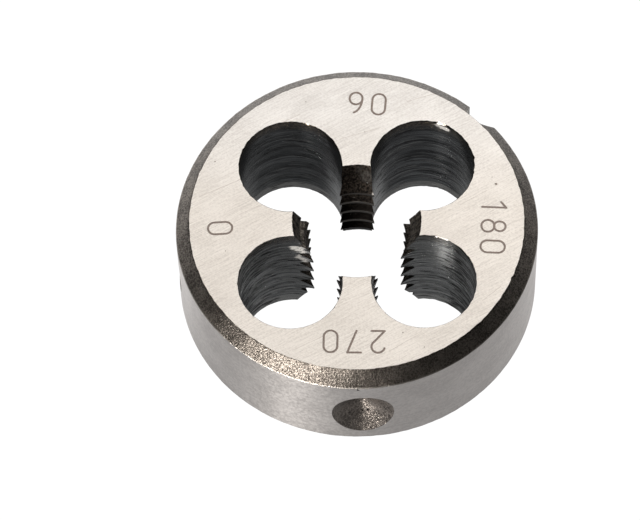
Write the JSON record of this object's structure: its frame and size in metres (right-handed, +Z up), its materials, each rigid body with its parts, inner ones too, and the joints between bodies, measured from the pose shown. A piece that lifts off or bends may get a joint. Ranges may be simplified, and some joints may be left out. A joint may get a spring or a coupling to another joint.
{
  "type": "round threading die",
  "caption": "Round steel threading die: a thick disc whose toothed lands cut a right-hand screw thread, with chip holes round a tapered bore, a rim notch and conical screw seats.",
  "frame": {"origin": "centre of the lower face, on the axis of the threaded bore", "axes": "+Z up the bore, out of the upper face; -Y towards the front screw seat, -X towards the side screw seat; the rim notch stands between +X and +Y"},
  "size_m": [0.03, 0.03, 0.011],
  "materials": {
    "die_steel": "hardened steel: ground faces and rim, darker chamfers, chip holes and teeth"
  },
  "bodies": {
    "root": {"die_body": "die_steel"}
  },
  "joints": []
}
